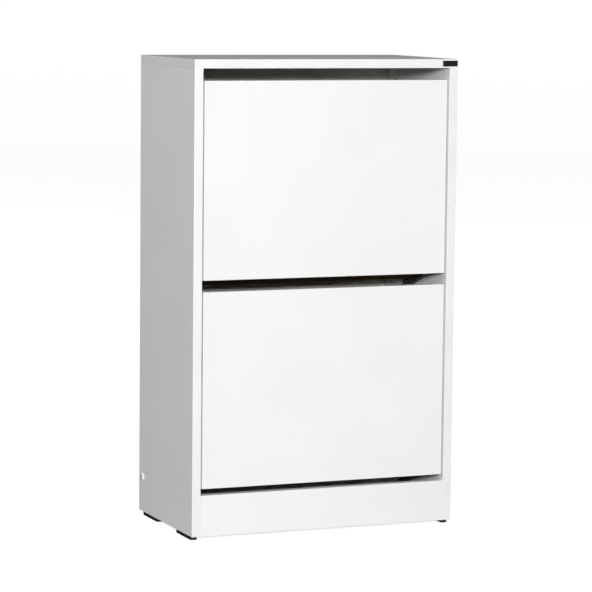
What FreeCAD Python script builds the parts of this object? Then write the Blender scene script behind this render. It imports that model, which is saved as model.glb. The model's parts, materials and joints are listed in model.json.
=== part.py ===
import FreeCAD, Part
import math
import os
import re
import Sketcher

V = FreeCAD.Vector
UP = V(0, 0, 1)
INWARDS = {"left": V(1, 0, 0), "right": V(-1, 0, 0)}

# Two-flap shoe cabinet: a white board carcass on four low feet with two inset doors, one above the
# other. Each door tips forward on two pins near its bottom edge and carries a two-row shoe rack
# between a pair of moulded side frames.
#
# Frame: +X to the right, +Y to the back, +Z up. The origin is on the floor, under the middle.
# All lengths are in millimetres and all angles in degrees.

SIZES = {
    # Carcass
    "overall_width": (500, "outside of one side panel to outside of the other"),
    "overall_depth": (280, "front edge to rear edge of the side panels"),
    "overall_height": (840, "floor to the top surface"),
    "board": (16, "thickness of the melamine-faced boards"),
    "plinth_rise": (73, "height of the plinth between the side panels"),
    "rail_rise": (73, "height of the rear rail"),
    "back_board": (3, "thickness of the hardboard back"),
    "back_inset": (8, "rear edge of the sides to the outside of the back"),
    "groove_depth": (7, "depth of the grooves that hold the back"),
    "groove_play": (0.4, "groove width beyond the thickness of the back"),
    "groove_end_play": (1, "space between the edge of the back and the bottom of a groove"),
    "back_lift": (3, "bottom edges of the sides to the bottom edge of the back"),
    # Doors and the gaps around them
    "door_side_gap": (3.5, "side panel to the edge of a door"),
    "door_setback": (3, "front edges of the sides to the face of a door"),
    "top_gap": (21, "finger gap above the upper door"),
    "middle_gap": (20, "finger gap between the doors"),
    "bottom_gap": (11, "plinth to the lower door"),
    # Hinge of a flap
    "pivot_behind_door": (10, "inner face of a door to its hinge axis"),
    "pivot_above_edge": (45, "bottom edge of a door to its hinge axis"),
    "opening_angle": (45, "how far a flap tips forward"),
    "pin_radius": (4, "radius of a hinge pin"),
    "pin_play": (0.08, "radial running clearance of a hinge pin"),
    "mount_plate": (2.5, "thickness of the plates screwed to the side panels"),
    "plate_width": (18, "width of a pivot plate"),
    "plate_length": (54, "length of a pivot plate"),
    "plate_screw_offset": (18, "hinge axis to each screw of a pivot plate"),
    "peg_radius": (4, "radius of a stop peg"),
    "peg_play": (0.3, "clearance between a stop peg and its slot"),
    "peg_orbit": (90, "hinge axis to the middle of the stop slot"),
    "peg_bearing": (70, "angle of the closed end of the stop slot, from the shelf line"),
    "peg_base_radius": (10, "radius of the foot of a stop peg"),
    # Rack of a flap, in lines along the shelf (towards the back) and square to it
    "rack_slope": (20, "how far the shelves of a closed flap fall towards the back"),
    "frame_side_gap": (3.5, "side panel to the outside of a rack frame"),
    "web": (3, "thickness of a rack frame's wall"),
    "rib_reach": (12, "outside of a rack frame to the edge of its ribs"),
    "flange_reach": (20, "width of the flange that lies on the door"),
    "flange": (3, "thickness of the flange that lies on the door"),
    "flange_rise": (200, "hinge axis to the top of the flange"),
    "boss_radius": (9, "radius of the boss around a hinge pin"),
    "rim": (8, "thickness of the bottom rim of a rack frame"),
    "rear_rim": (5, "thickness of the rear rim of a rack frame"),
    "rim_lift": (8, "bottom edge of a door to the underside of the rim beside it"),
    "rib": (2, "thickness of the ribs that hold the rack boards"),
    "rack_board": (3, "thickness of the rack boards"),
    "rack_play": (0.4, "channel width beyond the thickness of a rack board"),
    "rack_end_play": (0.5, "space between a rack board and the wall beside it"),
    "front_row": (112, "hinge axis to the backrest of the front row, along the shelf"),
    "front_backrest_rise": (150, "shelf line of the hinge to the top of the front backrest"),
    "bottom_rim_end": (150, "hinge axis to the rear end of the bottom rim"),
    "rear_lift": (60, "shelf line of the hinge to the shelf of the rear row"),
    "rear_backrest_rise": (130, "shelf line of the hinge to the top of the rear backrest"),
    "rack_clearance": (6, "rearmost point of a rack to the back of the cabinet"),
    "window_margin": (12, "wall left around the windows of a rack frame"),
    # Feet, badge and caps
    "foot_rise": (7, "height of a foot"),
    "foot_width": (13, "width of a foot"),
    "foot_length": (76, "length of a foot"),
    "foot_front_inset": (11, "front edge of a side to the front foot"),
    "foot_rear_inset": (17, "rear edge of a side to the rear foot"),
    "foot_corner": (4, "corner radius of a foot"),
    "nail_offset": (24, "middle of a foot to each of its nails"),
    "badge_width": (29, "width of the blank badge"),
    "badge_rise": (10.4, "height of the blank badge"),
    "badge_plate": (1, "thickness of the blank badge"),
    "badge_inset": (1, "right end of the top to the badge"),
    "badge_corner": (0.8, "corner radius of the badge"),
    "cap_radius": (7, "radius of a screw cap"),
    "cap_plate": (2.5, "thickness of a screw cap"),
    "cap_edge": (1.2, "radius of the rounded edge of a screw cap"),
    # Fastenings
    "fit_play": (0.1, "radial clearance of holes around screws, nails, dowels and cams"),
    "cam_radius": (7.5, "radius of a cam housing"),
    "cam_depth": (12, "depth of a cam housing"),
    "cam_distance": (34, "edge of a board to the middle of its cam"),
    "bolt_radius": (3, "radius of a cam bolt"),
    "bolt_thread": (11, "length of a cam bolt screwed into the facing board"),
    "dowel_radius": (4, "radius of a dowel"),
    "dowel_length": (30, "length of a dowel"),
    "dowel_in_face": (11, "part of a dowel that stands in the face of a board"),
    "top_joint_inset": (50, "front or rear edge to the cams of the top"),
    "top_dowel_inset": (82, "front or rear edge to the dowels of the top"),
    "plinth_cam_rise": (50, "bottom edge of the plinth to its cam bolts"),
    "low_dowel_rise": (22, "bottom edge of the plinth and rail to their dowels"),
    "rail_screw_rise": (64, "bottom edge of the rear rail to its screws"),
    "rail_screw_radius": (2.5, "radius of a rail screw"),
    "rail_screw_length": (50, "length of a rail screw below its head"),
    "rail_head_radius": (5, "radius of the head of a rail screw"),
    "rail_head": (2, "thickness of the head of a rail screw"),
    "screw_radius": (1.75, "radius of a small screw"),
    "screw_head_radius": (3.4, "radius of the head of a small screw"),
    "screw_head": (2, "height of the head of a small screw"),
    "screw_grip": (12, "depth of a small screw in its board"),
    "frame_screw_low": (20, "hinge axis down to the lowest frame screw"),
    "frame_screw_pitch": (100, "spacing of the frame screws"),
    "nail_radius": (0.8, "radius of a nail"),
    "nail_length": (18, "length of a nail below its head"),
    "nail_head_radius": (2.2, "radius of the head of a nail"),
    "nail_head": (0.8, "thickness of the head of a nail"),
    "foot_nail_recess": (2, "depth of the recess for a nail's head in a foot"),
    "back_nail_inset": (40, "inside of a side to the outermost nail of the back"),
    "back_nail_rise": (37, "bottom edge of the rail to the nails of the back"),
}

BACK_NAILS = 5
FRAME_SCREWS = 3

doc = FreeCAD.newDocument("shoe_cabinet")
sheet = doc.addObject("Spreadsheet::Sheet", "Sizes")
for row, (alias, (value, meaning)) in enumerate(SIZES.items(), start=1):
    sheet.set(f"A{row}", meaning)
    sheet.set(f"B{row}", str(value))
    sheet.setAlias(f"B{row}", alias)
doc.recompute()


def formula(text):
    """Write a formula of size names the way the other objects of the document read it."""
    return re.sub(r"[a-z_]+", lambda word: f"Sizes.{word[0]}" if word[0] in SIZES else word[0], text)


def number(text):
    """The value of a formula of size names."""
    return float(sheet.evalExpression(formula(text)))


# Places shared by several pieces, as formulas of the sizes. Each is a whole in brackets.
INSIDE_WIDTH = "(overall_width - 2 * board)"
SIDE_RISE = "(overall_height - foot_rise - board)"
INNER_FACE = "(overall_width / 2 - board)"
FRONT = "(-overall_depth / 2)"
BACK_INNER = "(overall_depth / 2 - back_inset - back_board)"
RAIL_FRONT = f"({BACK_INNER} - board)"
RAIL_MIDDLE = f"({BACK_INNER} - board / 2)"
DOOR_WIDTH = f"({INSIDE_WIDTH} - 2 * door_side_gap)"
DOOR_RISE = f"(({SIDE_RISE} - plinth_rise - top_gap - middle_gap - bottom_gap) / 2)"
DOOR_FACE = f"({FRONT} + door_setback)"
DOOR_INNER = f"({DOOR_FACE} + board)"
PIVOT_DEPTH = f"({DOOR_INNER} + pivot_behind_door)"
LOWER_EDGE = "(foot_rise + plinth_rise + bottom_gap)"
UPPER_EDGE = f"({LOWER_EDGE} + {DOOR_RISE} + middle_gap)"
DOOR_EDGES = {"lower": LOWER_EDGE, "upper": UPPER_EDGE}

# Left and right, with the sign of X at that side.
SIDES = {"left": -1, "right": 1}


def level(text):
    """The height of the hinge axis of a flap: lower or upper."""
    return f"({DOOR_EDGES[text]} + pivot_above_edge)"


def along(depth, rise):
    """Distance along the shelf line of a point given by depth and height from the hinge axis."""
    return f"(({depth}) * cos(rack_slope) - ({rise}) * sin(rack_slope))"


def square(depth, rise):
    """Distance square to the shelf line of a point given by depth and height from the hinge axis."""
    return f"(({depth}) * sin(rack_slope) + ({rise}) * cos(rack_slope))"


# ---------------------------------------------------------------------------------------------
# Building blocks
# ---------------------------------------------------------------------------------------------

# Each face of a board: the origin plane it is parallel to, which of the board's lengths the plane
# moves by, with its sign, and whether a pocket has to be turned round to cut into the board.
FACES = {
    "left": ("YZ_Plane", 0, 0, True),
    "right": ("YZ_Plane", 0, 1, False),
    "front": ("XZ_Plane", 1, 0, False),
    "rear": ("XZ_Plane", 1, -1, True),
    "bottom": ("XY_Plane", 2, 0, True),
    "top": ("XY_Plane", 2, 1, False),
}


def bind(thing, settings):
    """Tie properties of an object to formulas."""
    for name, text in settings.items():
        thing.setExpression(name, formula(text))


def place(thing, at):
    """Tie the place of an object to three formulas."""
    bind(thing, {f"Placement.Base.{axis}": text for axis, text in zip("xyz", at)})


class Piece:
    """One sub-part: a body, its sketches and its features."""

    def __init__(self, name, at, tilted=False):
        self.body = doc.addObject("PartDesign::Body", name)
        self.body.Label = name
        if tilted:
            self.body.Placement.Rotation = FreeCAD.Rotation(V(1, 0, 0), -1)
            bind(self.body, {"Placement.Rotation.Angle": "-rack_slope"})
        place(self.body, at)

    def sketch(self, role="YZ_Plane", shift="0"):
        """An empty sketch on one of the body's own planes, moved along the plane's normal."""
        drawing = self.body.newObject("Sketcher::SketchObject", "outline")
        plane = next(part for part in self.body.Origin.OriginFeatures if part.Role == role)
        drawing.AttachmentSupport = [(plane, "")]
        drawing.MapMode = "FlatFace"
        bind(drawing, {"AttachmentOffset.Base.z": shift})
        return drawing

    def pad(self, drawing, length, turned=False):
        """Raise a sketch into the body."""
        feature = self.body.newObject("PartDesign::Pad", "pad")
        feature.Profile = drawing
        feature.Reversed = turned
        bind(feature, {"Length": length})
        doc.recompute()
        return feature

    def pocket(self, drawing, depth=None, turned=False):
        """Cut a sketch out of the body, right through where no depth is given."""
        before = self.body.Tip.Shape.Volume
        feature = self.body.newObject("PartDesign::Pocket", "pocket")
        feature.Profile = drawing
        feature.Reversed = turned
        if depth is None:
            feature.Type = "ThroughAll"
        else:
            bind(feature, {"Length": depth})
        doc.recompute()
        if not feature.Shape.Volume < before:
            raise RuntimeError(f"{self.body.Label}: {feature.Label} cuts nothing")
        return feature

    def round_edges(self, direction, radius):
        """Round the straight edges that run in one direction."""
        base = self.body.Tip
        names = []
        for count, edge in enumerate(base.Shape.Edges, start=1):
            if isinstance(edge.Curve, Part.Line) and edge.Curve.Direction.cross(direction).Length < 1e-6:
                names.append(f"Edge{count}")
        feature = self.body.newObject("PartDesign::Fillet", "rounding")
        feature.Base = (base, names)
        bind(feature, {"Radius": radius})
        doc.recompute()


def pin_down(drawing, geometry, point, at):
    """Hold a point of a sketch at a place given by two formulas."""
    for kind, text in zip(("DistanceX", "DistanceY"), at):
        row = drawing.addConstraint(Sketcher.Constraint(kind, -1, 1, geometry, point, number(text)))
        drawing.setExpression(f"Constraints[{row}]", formula(text))


def draw_polygon(drawing, corners):
    """Draw a closed outline through corners given by formulas."""
    first = drawing.GeometryCount
    spots = [V(number(across), number(up), 0) for across, up in corners]
    count = len(spots)
    for step in range(count):
        drawing.addGeometry(Part.LineSegment(spots[step], spots[(step + 1) % count]), False)
    for step in range(count):
        here, following = first + step, first + (step + 1) % count
        drawing.addConstraint(Sketcher.Constraint("Coincident", here, 2, following, 1))
    for step, corner in enumerate(corners):
        pin_down(drawing, first + step, 1, corner)


def draw_rectangle(drawing, low, high):
    """Draw a rectangle between two opposite corners given by formulas."""
    draw_polygon(drawing, [low, (high[0], low[1]), high, (low[0], high[1])])


def draw_circle(drawing, centre, radius):
    """Draw a circle whose centre and radius are formulas."""
    middle = V(number(centre[0]), number(centre[1]), 0)
    row = drawing.addGeometry(Part.Circle(middle, V(0, 0, 1), number(radius)), False)
    pin_down(drawing, row, 3, centre)
    rule = drawing.addConstraint(Sketcher.Constraint("Radius", row, number(radius)))
    drawing.setExpression(f"Constraints[{rule}]", formula(radius))


def draw_curved_slot(drawing, orbit, low, high, radius):
    """Draw a round-ended slot along a circle about the origin, between two bearings in degrees."""
    reach, half = number(orbit), number(radius)
    turn = [math.radians(number(low)), math.radians(number(high))]
    centres = [V(reach * math.cos(angle), reach * math.sin(angle), 0) for angle in turn]
    origin = V(0, 0, 0)
    arcs = [
        Part.ArcOfCircle(Part.Circle(origin, UP, reach + half), turn[0], turn[1]),
        Part.ArcOfCircle(Part.Circle(centres[1], UP, half), turn[1], turn[1] + math.pi),
        Part.ArcOfCircle(Part.Circle(origin, UP, reach - half), turn[0], turn[1]),
        Part.ArcOfCircle(Part.Circle(centres[0], UP, half), turn[0] - math.pi, turn[0]),
    ]
    outer, far, inner, near = [drawing.addGeometry(arc, False) for arc in arcs]
    for joint in ((outer, 2, far, 1), (far, 2, inner, 2), (inner, 1, near, 1), (near, 2, outer, 1)):
        drawing.addConstraint(Sketcher.Constraint("Tangent", *joint))
    for arc in (outer, inner):
        drawing.addConstraint(Sketcher.Constraint("Coincident", arc, 3, -1, 1))
    pin_down(drawing, far, 3, (f"{orbit} * cos({high})", f"{orbit} * sin({high})"))
    across = f"{orbit} * sin({low})"
    rules = {
        ("DistanceY", -1, 1, near, 3): across,
        ("Radius", near): radius,
    }
    for rule, text in rules.items():
        row = drawing.addConstraint(Sketcher.Constraint(*rule, number(text)))
        drawing.setExpression(f"Constraints[{row}]", formula(text))


class Board(Piece):
    """A rectangular board that lies from its own origin along +X, +Y and +Z."""

    def __init__(self, name, at, lengths, tilted=False):
        super().__init__(name, at, tilted)
        self.lengths = lengths
        drawing = self.sketch("XY_Plane")
        draw_rectangle(drawing, ("0", "0"), (lengths[0], lengths[1]))
        self.pad(drawing, lengths[2])

    def face(self, name):
        """A sketch on one face, and whether a pocket from it has to be turned round."""
        role, axis, sign, turned = FACES[name]
        return self.sketch(role, f"{sign} * {self.lengths[axis]}"), turned

    def drill(self, name, centres, radius, depth):
        """Drill round holes of one radius and depth into one face."""
        drawing, turned = self.face(name)
        for centre in centres:
            draw_circle(drawing, centre, radius)
        self.pocket(drawing, depth, turned)

    def groove(self, name, low, high, depth):
        """Cut a straight groove into one face."""
        drawing, turned = self.face(name)
        draw_rectangle(drawing, low, high)
        self.pocket(drawing, depth, turned)


def fastener(name, at, direction, sections):
    """A turned piece along one direction: discs and cones given by start, two radii and height."""
    solids = []
    for start, radius, end_radius, height in sections:
        if radius == end_radius:
            solid = doc.addObject("Part::Cylinder", f"{name}_shank")
            bind(solid, {"Radius": radius, "Height": height})
        else:
            solid = doc.addObject("Part::Cone", f"{name}_cone")
            bind(solid, {"Radius1": radius, "Radius2": end_radius, "Height": height})
        place(solid, ("0", "0", start))
        solids.append(solid)
    if len(solids) > 1:
        whole = doc.addObject("Part::MultiFuse", name)
        whole.Shapes = solids
    else:
        whole = doc.addObject("Part::Compound", name)
        whole.Links = solids
    whole.Placement.Rotation = FreeCAD.Rotation(V(0, 0, 1), direction)
    place(whole, at)
    return whole


def group(name, members):
    """One sub-part that holds several alike pieces, each a solid of its own."""
    whole = doc.addObject("Part::Compound", name)
    whole.Label = name
    whole.Links = members
    return whole


SCREW_HOLE = "(screw_radius + fit_play)"
NAIL_HOLE = "(nail_radius + fit_play)"
DOWEL_HOLE = "(dowel_radius + fit_play)"
BOLT_HOLE = "(bolt_radius + fit_play)"
nodes = []


def keep(thing):
    """Note a finished sub-part, to be checked and written at the end."""
    nodes.append(thing.body if isinstance(thing, Piece) else thing)
    return thing


# ---------------------------------------------------------------------------------------------
# Carcass
# ---------------------------------------------------------------------------------------------

# Depths of the joints of the top, from the front edges, and of the low fittings of a side panel.
TOP_JOINTS = ["top_joint_inset", "(overall_depth - top_joint_inset)"]
TOP_DOWELS = ["top_dowel_inset", "(overall_depth - top_dowel_inset)"]
RAIL_DEPTH = "(overall_depth - back_inset - back_board - board / 2)"
GROOVE_NEAR = "(overall_depth - back_inset - back_board)"
GROOVE_FAR = "(overall_depth - back_inset + groove_play)"
HINGE_DEPTH = "(door_setback + board + pivot_behind_door)"
PEG_ANGLE = "(peg_bearing - rack_slope)"
PEG_DEPTH = f"(peg_orbit * cos({PEG_ANGLE}))"
PEG_RISE = f"(peg_orbit * sin({PEG_ANGLE}))"

for side, sign in SIDES.items():
    inner, outer = ("right", "left") if side == "left" else ("left", "right")
    at_x = "-overall_width / 2" if side == "left" else INNER_FACE
    panel = Board(f"{side}_side_panel", (at_x, FRONT, "foot_rise"), ("board", "overall_depth", SIDE_RISE))
    panel.groove(inner, (GROOVE_NEAR, "0"), (GROOVE_FAR, SIDE_RISE), "groove_depth")
    # Top: cam housings in the inner face, bolts and dowels in the top edge.
    cams = [(depth, f"({SIDE_RISE} - cam_distance)") for depth in TOP_JOINTS]
    panel.drill(inner, cams, "cam_radius + fit_play", "cam_depth + fit_play")
    panel.drill("top", [("board / 2", depth) for depth in TOP_JOINTS], BOLT_HOLE, "cam_distance")
    dowel_depth = "dowel_length - dowel_in_face + groove_end_play"
    panel.drill("top", [("board / 2", depth) for depth in TOP_DOWELS], DOWEL_HOLE, dowel_depth)
    # Plinth and rail: bolt, dowels and screw through the side.
    panel.drill(inner, [("board / 2", "plinth_cam_rise")], BOLT_HOLE, "bolt_thread")
    low_dowels = [("board / 2", "low_dowel_rise"), (RAIL_DEPTH, "low_dowel_rise")]
    panel.drill(inner, low_dowels, DOWEL_HOLE, "dowel_in_face")
    rail_screw = [(RAIL_DEPTH, "rail_screw_rise")]
    panel.drill(outer, rail_screw, "rail_screw_radius + fit_play", "board + fit_play")
    panel.drill(outer, rail_screw, "rail_head_radius + fit_play", "rail_head")
    # Hinge plates and stop pegs of both flaps.
    screws = []
    for flap in DOOR_EDGES:
        rise = f"({level(flap)} - foot_rise)"
        screws.append((HINGE_DEPTH, f"{rise} + plate_screw_offset"))
        screws.append((HINGE_DEPTH, f"{rise} - plate_screw_offset"))
        screws.append((f"{HINGE_DEPTH} + {PEG_DEPTH}", f"{rise} + {PEG_RISE}"))
    panel.drill(inner, screws, SCREW_HOLE, "screw_grip")
    # Feet: nails in the bottom edge.
    nails = []
    for middle in ("(foot_front_inset + foot_length / 2)",
                   "(overall_depth - foot_rear_inset - foot_length / 2)"):
        nails += [("board / 2", f"{middle} + nail_offset"), ("board / 2", f"{middle} - nail_offset")]
    panel.drill("bottom", nails, NAIL_HOLE, "nail_length")
    keep(panel)

top = Board("top_panel", ("-overall_width / 2", FRONT, "overall_height - board"),
            ("overall_width", "overall_depth", "board"))
groove_ends = ("board - groove_depth", "overall_width - board + groove_depth")
top.groove("bottom", (groove_ends[0], GROOVE_NEAR), (groove_ends[1], GROOVE_FAR), "groove_depth")
ends = ("board / 2", "(overall_width - board / 2)")
top.drill("bottom", [(end, depth) for end in ends for depth in TOP_JOINTS], BOLT_HOLE, "bolt_thread")
top.drill("bottom", [(end, depth) for end in ends for depth in TOP_DOWELS], DOWEL_HOLE, "dowel_in_face")
keep(top)

plinth = Board("plinth_panel", (f"-{INNER_FACE}", FRONT, "foot_rise"), (INSIDE_WIDTH, "board", "plinth_rise"))
cams = [("cam_distance", "plinth_cam_rise"), (f"{INSIDE_WIDTH} - cam_distance", "plinth_cam_rise")]
plinth.drill("rear", cams, "cam_radius + fit_play", "cam_depth + fit_play")
low_dowel = "dowel_length - dowel_in_face + groove_end_play"
for end in ("left", "right"):
    plinth.drill(end, [("board / 2", "plinth_cam_rise")], BOLT_HOLE, "cam_distance")
    plinth.drill(end, [("board / 2", "low_dowel_rise")], DOWEL_HOLE, low_dowel)
keep(plinth)

rail = Board("rear_rail", (f"-{INNER_FACE}", RAIL_FRONT, "foot_rise"), (INSIDE_WIDTH, "board", "rail_rise"))
for end in ("left", "right"):
    screw_depth = "rail_screw_length + rail_head - board + fit_play"
    rail.drill(end, [("board / 2", "rail_screw_rise")], "rail_screw_radius + fit_play", screw_depth)
    rail.drill(end, [("board / 2", "low_dowel_rise")], DOWEL_HOLE, low_dowel)
nail_span = f"({INSIDE_WIDTH} - 2 * back_nail_inset)"
nail_places = [f"back_nail_inset + {nail_span} * {step} / {BACK_NAILS - 1}" for step in range(BACK_NAILS)]
nail_grip = "nail_length - back_board + fit_play"
rail.drill("rear", [(spot, "back_nail_rise") for spot in nail_places], NAIL_HOLE, nail_grip)
keep(rail)

# The back slides down its grooves against their front walls.
edge_in_groove = "(groove_depth - groove_end_play)"
back_width = f"({INSIDE_WIDTH} + 2 * {edge_in_groove})"
back_rise = f"({SIDE_RISE} + {edge_in_groove} - back_lift)"
back = Board("back_panel", (f"-{back_width} / 2", BACK_INNER, "foot_rise + back_lift"),
             (back_width, "back_board", back_rise))
nail_holes = [(f"{edge_in_groove} + {spot}", "back_nail_rise - back_lift") for spot in nail_places]
back.drill("rear", nail_holes, NAIL_HOLE, "back_board + fit_play")
keep(back)

badge = Board("badge_plate",
              ("overall_width / 2 - badge_inset - badge_width", f"{FRONT} - badge_plate",
               "overall_height - board / 2 - badge_rise / 2"),
              ("badge_width", "badge_plate", "badge_rise"))
badge.round_edges(V(0, 1, 0), "badge_corner")
keep(badge)

# ---------------------------------------------------------------------------------------------
# Fastenings of the carcass
# ---------------------------------------------------------------------------------------------

cam_housings, cam_bolts, dowels, rail_screws = [], [], [], []
# Sections of each fastening: start, first and last radius, and length.
cam = [("0", "cam_radius", "cam_radius", "cam_depth")]
bolt = [("0", "bolt_radius", "bolt_radius", "cam_distance - cam_radius - 2 * fit_play + bolt_thread")]
dowel = [("0", "dowel_radius", "dowel_radius", "dowel_length")]
rail_screw = [
    ("0", "rail_head_radius", "rail_head_radius", "rail_head"),
    ("rail_head", "rail_screw_radius", "rail_screw_radius", "rail_screw_length"),
]
nail = [
    ("0", "nail_head_radius", "nail_head_radius", "nail_head"),
    ("nail_head", "nail_radius", "nail_radius", "nail_length"),
]
for side, sign in SIDES.items():
    inwards, outwards = INWARDS[side], -INWARDS[side]
    middle = f"{sign} * (overall_width / 2 - board / 2)"
    face = f"{sign} * {INNER_FACE}"
    for depth in TOP_JOINTS:
        at_y = f"{FRONT} + {depth}"
        cam_at = (face, at_y, "overall_height - board - cam_distance")
        cam_housings.append(fastener("cam", cam_at, outwards, cam))
        bolt_start = "overall_height - board - cam_distance + cam_radius + 2 * fit_play"
        cam_bolts.append(fastener("cam_bolt", (middle, at_y, bolt_start), UP, bolt))
    for depth in TOP_DOWELS:
        dowel_at = (middle, f"{FRONT} + {depth}", "overall_height - board + dowel_in_face - dowel_length")
        dowels.append(fastener("dowel", dowel_at, UP, dowel))
    # Plinth: one cam and one dowel at each end. Rail: one dowel and one screw at each end.
    cam_at = (f"{sign} * ({INNER_FACE} - cam_distance)", f"{FRONT} + board", "foot_rise + plinth_cam_rise")
    cam_housings.append(fastener("cam", cam_at, V(0, -1, 0), cam))
    bolt_at = (f"{sign} * ({INNER_FACE} + bolt_thread)", f"{FRONT} + board / 2",
               "foot_rise + plinth_cam_rise")
    cam_bolts.append(fastener("cam_bolt", bolt_at, inwards, bolt))
    for depth in (f"{FRONT} + board / 2", RAIL_MIDDLE):
        dowel_at = (f"{sign} * ({INNER_FACE} + dowel_in_face)", depth, "foot_rise + low_dowel_rise")
        dowels.append(fastener("dowel", dowel_at, inwards, dowel))
    screw_at = (f"{sign} * overall_width / 2", RAIL_MIDDLE, "foot_rise + rail_screw_rise")
    rail_screws.append(fastener("rail_screw", screw_at, inwards, rail_screw))

keep(group("cam_housings", cam_housings))
keep(group("cam_bolts", cam_bolts))
keep(group("dowels", dowels))
keep(group("rail_screws", rail_screws))

for side, sign in SIDES.items():
    cap_at = (f"{sign} * overall_width / 2", RAIL_MIDDLE, "foot_rise + rail_screw_rise")
    cap = Piece(f"screw_cap_{side}", cap_at)
    drawing = cap.sketch()
    draw_circle(drawing, ("0", "0"), "cap_radius")
    disc = cap.pad(drawing, "cap_plate", turned=side == "left")
    outer_x = sign * number("cap_plate")
    rims = [f"Edge{count}" for count, edge in enumerate(disc.Shape.Edges, start=1)
            if abs(edge.BoundBox.XMin - outer_x) < 1e-6 and abs(edge.BoundBox.XMax - outer_x) < 1e-6]
    crown = cap.body.newObject("PartDesign::Fillet", "rounding")
    crown.Base = (disc, rims)
    bind(crown, {"Radius": "cap_edge"})
    keep(cap)

back_nails = []
for spot in nail_places:
    nail_at = (f"-{INNER_FACE} + {spot}", f"{BACK_INNER} + back_board + nail_head",
               "foot_rise + back_nail_rise")
    back_nails.append(fastener("back_nail", nail_at, V(0, -1, 0), nail))
keep(group("back_nails", back_nails))

# ---------------------------------------------------------------------------------------------
# Feet
# ---------------------------------------------------------------------------------------------

FOOT_STARTS = {"front": "foot_front_inset", "rear": "(overall_depth - foot_rear_inset - foot_length)"}
foot_nails = []
for end, start in FOOT_STARTS.items():
    for side, sign in SIDES.items():
        middle = f"{sign} * (overall_width / 2 - board / 2)"
        foot = Board(f"foot_{end}_{side}", (f"{middle} - foot_width / 2", f"{FRONT} + {start}", "0"),
                     ("foot_width", "foot_length", "foot_rise"))
        foot.round_edges(UP, "foot_corner")
        holes = [("foot_width / 2", f"foot_length / 2 + {way} * nail_offset") for way in (-1, 1)]
        foot.drill("bottom", holes, "nail_head_radius + fit_play", "foot_nail_recess")
        foot.drill("bottom", holes, NAIL_HOLE, "foot_rise + fit_play")
        keep(foot)
        for way in (-1, 1):
            nail_depth = f"{FRONT} + {start} + foot_length / 2 + {way} * nail_offset"
            nail_at = (middle, nail_depth, "foot_nail_recess - nail_head")
            foot_nails.append(fastener("foot_nail", nail_at, UP, nail))
keep(group("foot_nails", foot_nails))

# ---------------------------------------------------------------------------------------------
# Pivots and stops on the side panels
# ---------------------------------------------------------------------------------------------

plate_screws, peg_screws = [], []
sunk_shank = "mount_plate + screw_grip - screw_head - 2 * fit_play"
sunk_screw = [
    ("0", "screw_head_radius", "screw_radius", "screw_head"),
    ("screw_head", "screw_radius", "screw_radius", sunk_shank),
]
peg_screw = [
    ("0", "screw_head_radius", "screw_head_radius", "screw_head"),
    ("screw_head", "screw_radius", "screw_radius", "frame_side_gap + web + screw_grip - 2 * fit_play"),
]
PLATE_CORNER = ("plate_width / 2", "plate_length / 2")
for flap in DOOR_EDGES:
    for side, sign in SIDES.items():
        turned = side == "right"
        outwards = -INWARDS[side]
        plate = Piece(f"{flap}_pivot_plate_{side}", (f"{sign} * {INNER_FACE}", PIVOT_DEPTH, level(flap)))
        drawing = plate.sketch()
        draw_rectangle(drawing, [f"-{half}" for half in PLATE_CORNER], PLATE_CORNER)
        plate.pad(drawing, "mount_plate", turned)
        plate.round_edges(V(1, 0, 0), "plate_width / 2 - fit_play")
        drawing = plate.sketch()
        draw_circle(drawing, ("0", "0"), "pin_radius")
        plate.pad(drawing, "frame_side_gap + rib_reach", turned)
        drawing = plate.sketch()
        for way in (-1, 1):
            draw_circle(drawing, ("0", f"{way} * plate_screw_offset"), SCREW_HOLE)
        plate.pocket(drawing, "mount_plate + fit_play", not turned)
        # Countersinks: a cone about each screw, cut from the plate.
        tool = [("0", "screw_head_radius + fit_play", SCREW_HOLE, "screw_head")]
        plate_face = f"{sign} * ({INNER_FACE} - mount_plate)"
        heads = []
        for way in (-1, 1):
            screw_at = (plate_face, PIVOT_DEPTH, f"{level(flap)} + {way} * plate_screw_offset")
            heads.append(fastener("countersink", screw_at, outwards, tool))
            plate_screws.append(fastener("plate_screw", screw_at, outwards, sunk_screw))
        sunk = doc.addObject("Part::Cut", f"{flap}_pivot_{side}")
        plate.body.Label = f"{flap}_pivot_blank_{side}"
        sunk.Base = plate.body
        sunk.Tool = group(f"{flap}_countersinks_{side}", heads)
        sunk.Label = f"{flap}_pivot_{side}"
        keep(sunk)

        # The stop peg is a bush held by one screw along its axis.
        peg_at = (f"{sign} * {INNER_FACE}", f"{PIVOT_DEPTH} + {PEG_DEPTH}", f"{level(flap)} + {PEG_RISE}")
        peg = Piece(f"{flap}_stop_peg_{side}", peg_at)
        for radius, length in (("peg_base_radius", "mount_plate"), ("peg_radius", "frame_side_gap + web")):
            drawing = peg.sketch()
            draw_circle(drawing, ("0", "0"), radius)
            peg.pad(drawing, length, turned)
        drawing = peg.sketch()
        draw_circle(drawing, ("0", "0"), SCREW_HOLE)
        peg.pocket(drawing, None, not turned)
        keep(peg)
        head_x = f"{sign} * ({INNER_FACE} - frame_side_gap - web - screw_head)"
        peg_screws.append(fastener("peg_screw", (head_x, peg_at[1], peg_at[2]), outwards, peg_screw))
keep(group("pivot_screws", plate_screws))
keep(group("peg_screws", peg_screws))

# ---------------------------------------------------------------------------------------------
# Flaps
# ---------------------------------------------------------------------------------------------

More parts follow.
